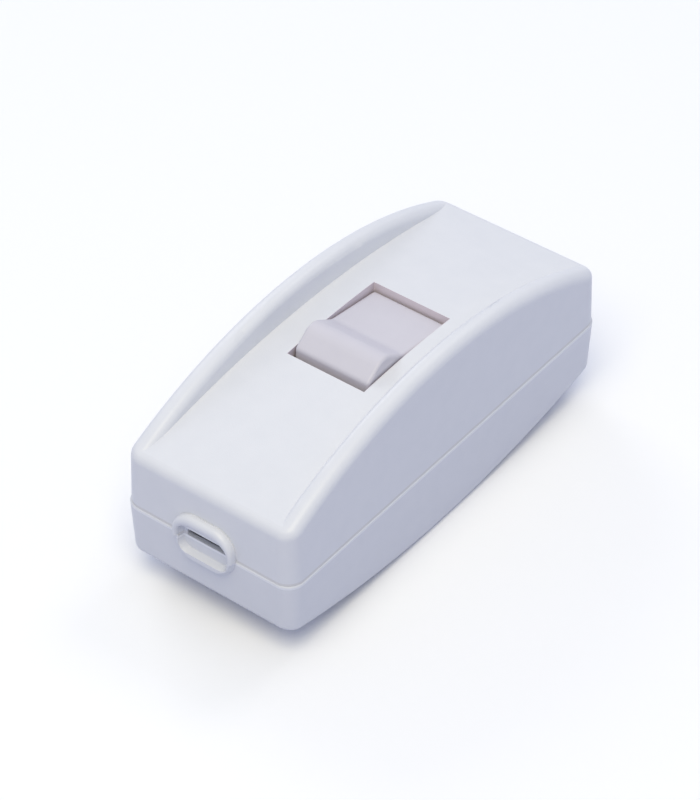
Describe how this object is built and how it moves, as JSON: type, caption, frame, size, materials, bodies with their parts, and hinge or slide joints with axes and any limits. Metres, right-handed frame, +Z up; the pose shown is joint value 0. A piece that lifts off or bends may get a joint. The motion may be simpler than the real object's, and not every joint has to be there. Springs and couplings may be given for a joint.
{
  "type": "inline cord switch",
  "caption": "Two-shell inline cord switch with an arched top, a rocker between raised side rails and a flat cord port at each end.",
  "frame": {"origin": "on the resting surface under the middle of the belly", "axes": "+X along the cord, from the pictured end to the far end; +Z up, through the rocker"},
  "size_m": [0.0612, 0.0246, 0.0257],
  "materials": {
    "housing": "satin",
    "rocker": "satin",
    "spring_steel": "satin",
    "screw_steel": "zinc-plated",
    "brass": "satin",
    "contact_silver": "satin",
    "pin_plastic": "matt"
  },
  "bodies": {
    "housing": {"upper_shell": "housing", "lower_shell": "housing", "fixed_contact": "contact_silver", "line_terminal": "brass", "load_terminal": "brass", "neutral_terminal": "brass", "near_cord_clamp": "housing", "far_cord_clamp": "housing", "line_terminal_screw": "screw_steel", "load_terminal_screw": "screw_steel", "near_neutral_screw": "screw_steel", "far_neutral_screw": "screw_steel", "near_right_clamp_screw": "screw_steel", "near_left_clamp_screw": "screw_steel", "far_right_clamp_screw": "screw_steel", "far_left_clamp_screw": "screw_steel", "near_case_screw": "screw_steel", "far_case_screw": "screw_steel"},
    "rocker": {"rocker": "rocker"},
    "plunger": {"plunger": "pin_plastic", "plunger_spring": "spring_steel"},
    "lever": {"contact_lever": "brass", "moving_contact": "contact_silver"}
  },
  "joints": [
    {"name": "rocker_tilt", "type": "hinge", "parent": "housing", "child": "rocker", "pos_m": [0, 0, 0.01835], "axis": [0, 1, 0], "range_deg": [-16, 0]},
    {"name": "plunger_slide", "type": "slide", "parent": "rocker", "child": "plunger", "axis": [0.1392, 0, 0.9903], "range_m": [0, 0.0008], "stiffness_N_per_m": 150, "springref_m": -0.0015, "deforming": ["plunger_spring"]},
    {"name": "lever_tilt", "type": "hinge", "parent": "housing", "child": "lever", "pos_m": [0, 0, 0.00907], "axis": [0, 1, 0], "range_deg": [0, 12]}
  ],
  "couplings": [
    {"joint": "lever_tilt", "follows": "rocker_tilt", "ratio": -0.75}
  ]
}
